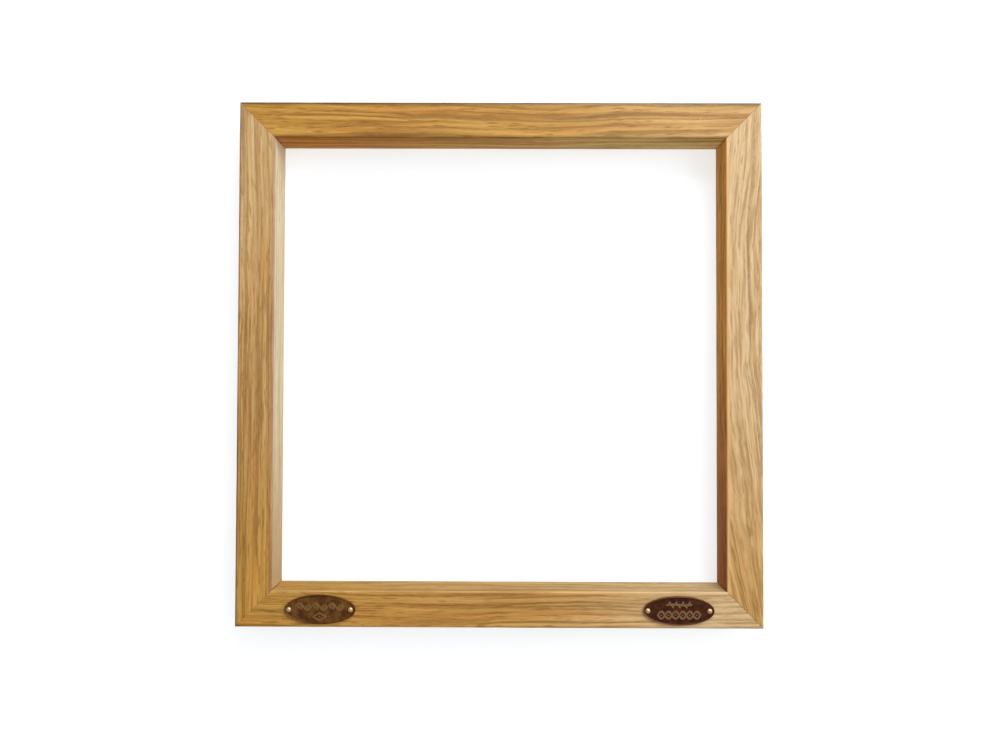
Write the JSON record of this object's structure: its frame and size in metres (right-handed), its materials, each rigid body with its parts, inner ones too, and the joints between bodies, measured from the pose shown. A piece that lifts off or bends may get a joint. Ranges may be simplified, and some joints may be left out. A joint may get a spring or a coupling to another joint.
{
  "type": "screen printing frame",
  "caption": "Square oak frame with mitred corners and an open middle, two small oval plates pinned to the bottom rail; screen mesh is stretched over its flat back.",
  "frame": {"origin": "middle of the opening, on the plane of the back face", "axes": "+Z out of the front face, +Y towards the top rail, +X towards the right rail; the plates are on the bottom rail at -Y"},
  "size_m": [0.35, 0.35, 0.024],
  "materials": {
    "oak": "clear satin oil on planed oak",
    "beech": "raw pressed beech",
    "nail_steel": "plain strip steel",
    "plate_bronze": "dark antique bronze with rubbed relief",
    "pin_brass": "polished brass"
  },
  "bodies": {
    "root": {"rail_bottom": "oak", "rail_right": "oak", "rail_top": "oak", "rail_left": "oak", "biscuit_bottom_left": "beech", "biscuit_bottom_right": "beech", "biscuit_top_right": "beech", "biscuit_top_left": "beech", "v_nail_outer_bottom_left": "nail_steel", "v_nail_outer_bottom_right": "nail_steel", "v_nail_outer_top_right": "nail_steel", "v_nail_outer_top_left": "nail_steel", "v_nail_inner_bottom_left": "nail_steel", "v_nail_inner_bottom_right": "nail_steel", "v_nail_inner_top_right": "nail_steel", "v_nail_inner_top_left": "nail_steel", "plate_left": "plate_bronze", "plate_right": "plate_bronze", "pin_left_a": "pin_brass", "pin_left_b": "pin_brass", "pin_right_a": "pin_brass", "pin_right_b": "pin_brass"}
  },
  "joints": []
}
